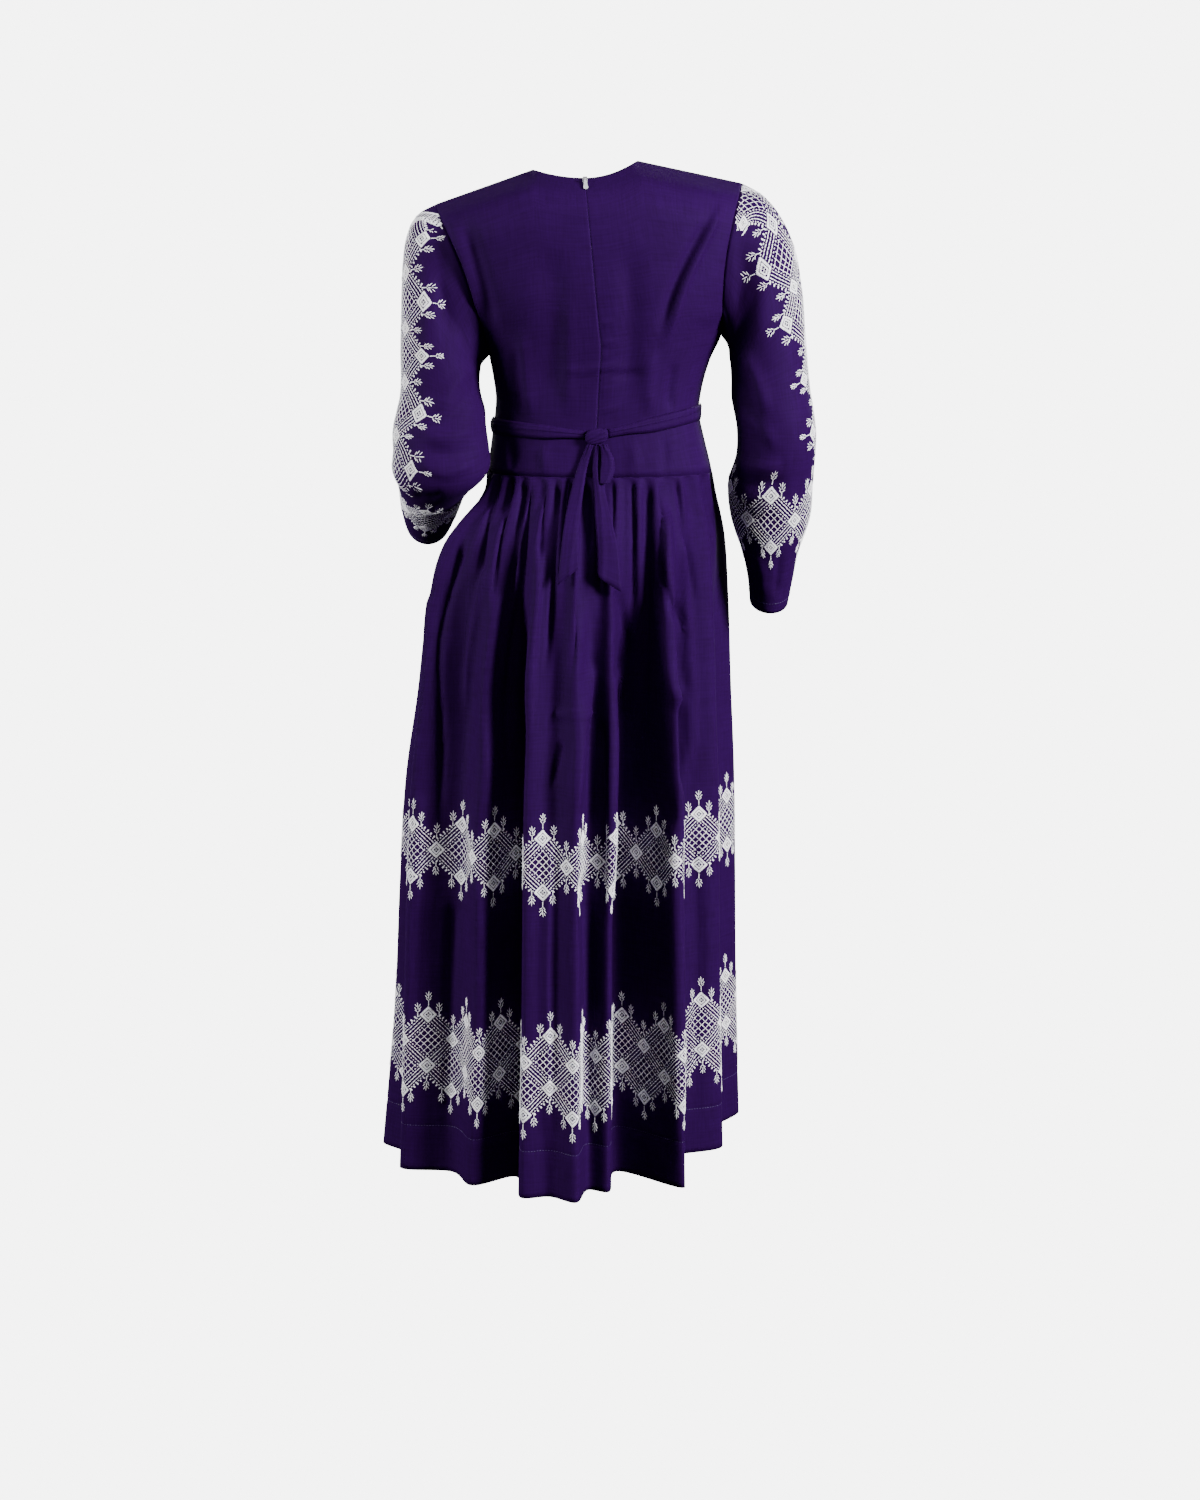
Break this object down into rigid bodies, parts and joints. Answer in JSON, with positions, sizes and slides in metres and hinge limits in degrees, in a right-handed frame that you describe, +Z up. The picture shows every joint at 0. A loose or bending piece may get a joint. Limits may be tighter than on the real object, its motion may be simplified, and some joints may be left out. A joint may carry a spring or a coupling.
{
  "type": "maxi dress",
  "caption": "Long-sleeved maxi dress with a fitted bodice, a pleated skirt, a tie at the back waist and a back zip, in its worn hollow form.",
  "frame": {"origin": "middle of the neck opening at the height of the shoulder seams, where the wearer's shoulders hold the dress", "axes": "+Z up; the wearer faces +Y, so the zip and the tied bow face -Y; +X is the wearer's right"},
  "size_m": [0.5539, 0.453, 1.2645],
  "materials": {
    "cloth": "soft plain-weave viscose, deep royal purple, slight sheen",
    "embroidery": "white satin-stitch thread",
    "zip_metal": "dark plated zinc",
    "zip_coil": "nylon coil and tape, purple"
  },
  "bodies": {
    "dress": {"bodice_front": "cloth", "bodice_back_left": "cloth", "bodice_back_right": "cloth", "sleeve_left": "cloth", "sleeve_right": "cloth", "skirt_back": "cloth", "skirt_front": "cloth", "tie_left": "cloth", "tie_right": "cloth", "tie_knot": "cloth", "tie_tail_left": "cloth", "tie_tail_right": "cloth", "tie_loop": "cloth", "zip_chain": "zip_coil", "zip_slider": "zip_metal"},
    "pull_tab": {"zip_pull_tab": "zip_metal"}
  },
  "joints": [
    {"name": "pull_tab_swing", "type": "hinge", "parent": "dress", "child": "pull_tab", "pos_m": [-0.0175, -0.09004, -0.01889], "axis": [-0.9985, -0.0447, -0.0319], "range_deg": [0, 150]}
  ]
}
